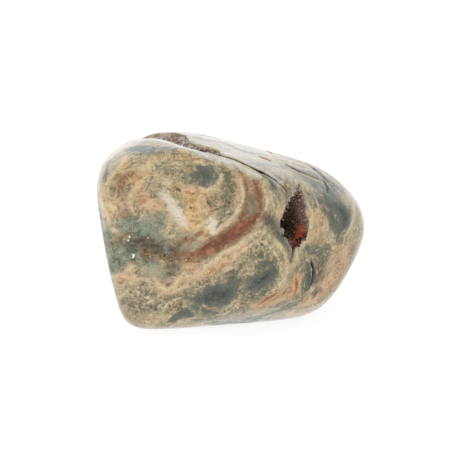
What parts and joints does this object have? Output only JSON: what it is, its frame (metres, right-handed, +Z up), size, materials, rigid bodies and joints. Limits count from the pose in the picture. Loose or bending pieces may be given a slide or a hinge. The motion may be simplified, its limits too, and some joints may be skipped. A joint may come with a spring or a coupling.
{
  "type": "tumbled ocean jasper stone",
  "caption": "Polished, rounded blocky jasper pebble with a crystal-lined pocket, a crystal-lined crevice over the top and fine open cracks; rests on its flat underside.",
  "frame": {"origin": "under the middle of the stone, at the height of its flat underside", "axes": "+Z up, +X along the stone's length towards its narrow end, -Y towards its broad banded front"},
  "size_m": [0.038, 0.0272, 0.027],
  "materials": {
    "polished_jasper": "polished, banded cream, tan, red-brown, slate and green",
    "red_druse": "glassy small crystals, dark red-brown",
    "brown_druse": "glassy small crystals, grey-brown"
  },
  "bodies": {
    "root": {"jasper_stone": "polished_jasper", "pocket_crystals": "red_druse", "crevice_crystals": "brown_druse"}
  },
  "joints": []
}
